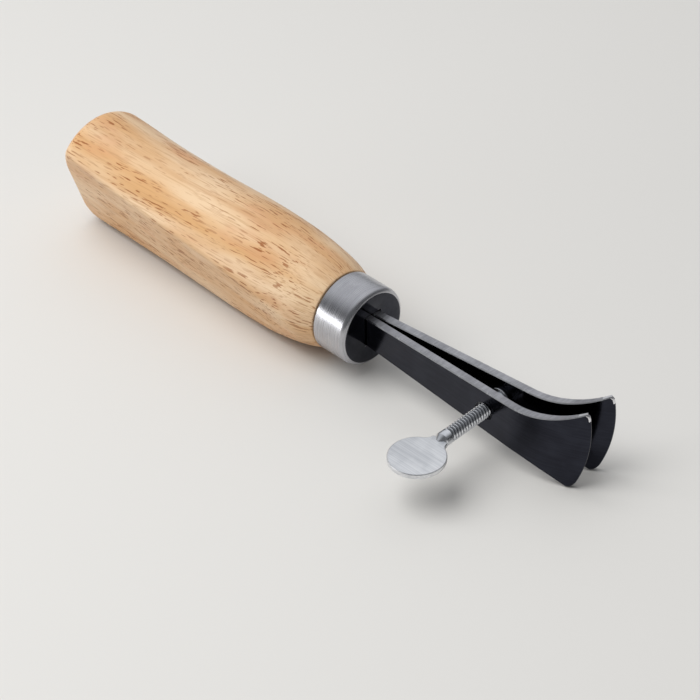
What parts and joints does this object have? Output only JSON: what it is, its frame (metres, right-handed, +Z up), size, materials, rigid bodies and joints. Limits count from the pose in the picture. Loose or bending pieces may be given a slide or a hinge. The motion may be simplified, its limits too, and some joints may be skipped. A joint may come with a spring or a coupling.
{
  "type": "adjustable leather edge creaser",
  "caption": "Leather edge creaser: turned wooden handle with side flats, steel ferrule, and curved spring blades whose spacing is set by a thumb screw.",
  "frame": {"origin": "centre of the underside of the box round the tool as it lies on a surface", "axes": "+X along the tool from the handle's butt to the blade tips, +Z up, -Y towards the thumb screw's head"},
  "size_m": [0.1724, 0.0486, 0.0301],
  "materials": {
    "wood": "satin clear varnish",
    "ferrule_steel": "satin turned sides, polished front face",
    "resin": "set epoxy, hidden",
    "blade_steel": "polished faces, ground edges",
    "screw_steel": "plated, brushed head"
  },
  "bodies": {
    "grip": {"handle": "wood", "ferrule": "ferrule_steel", "tang_bedding": "resin", "near_blade_tang": "blade_steel", "far_blade_tang": "blade_steel"},
    "near_jaw": {"near_blade": "blade_steel"},
    "far_jaw": {"far_blade": "blade_steel", "bearing_pad": "screw_steel"},
    "screw": {"thumb_screw": "screw_steel"}
  },
  "joints": [
    {"name": "near_blade_flex", "type": "hinge", "parent": "grip", "child": "near_jaw", "pos_m": [0.01543, 0.00946, 0.01504], "axis": [0, 0, -1], "range_deg": [-1.26, 2.53]},
    {"name": "far_blade_flex", "type": "hinge", "parent": "grip", "child": "far_jaw", "pos_m": [0.01543, 0.01206, 0.01504], "axis": [0, 0, 1], "range_deg": [-1.26, 2.53]},
    {"name": "thumb_screw_turn", "type": "hinge", "parent": "far_jaw", "child": "screw", "pos_m": [0.05648, 0.01189, 0.01504], "axis": [-0.0457, 0.999, 0], "range_deg": [-720, 1440]}
  ],
  "couplings": [
    {"joint": "near_blade_flex", "follows": "thumb_screw_turn", "ratio": 0.0017469},
    {"joint": "far_blade_flex", "follows": "thumb_screw_turn", "ratio": 0.0017469}
  ]
}
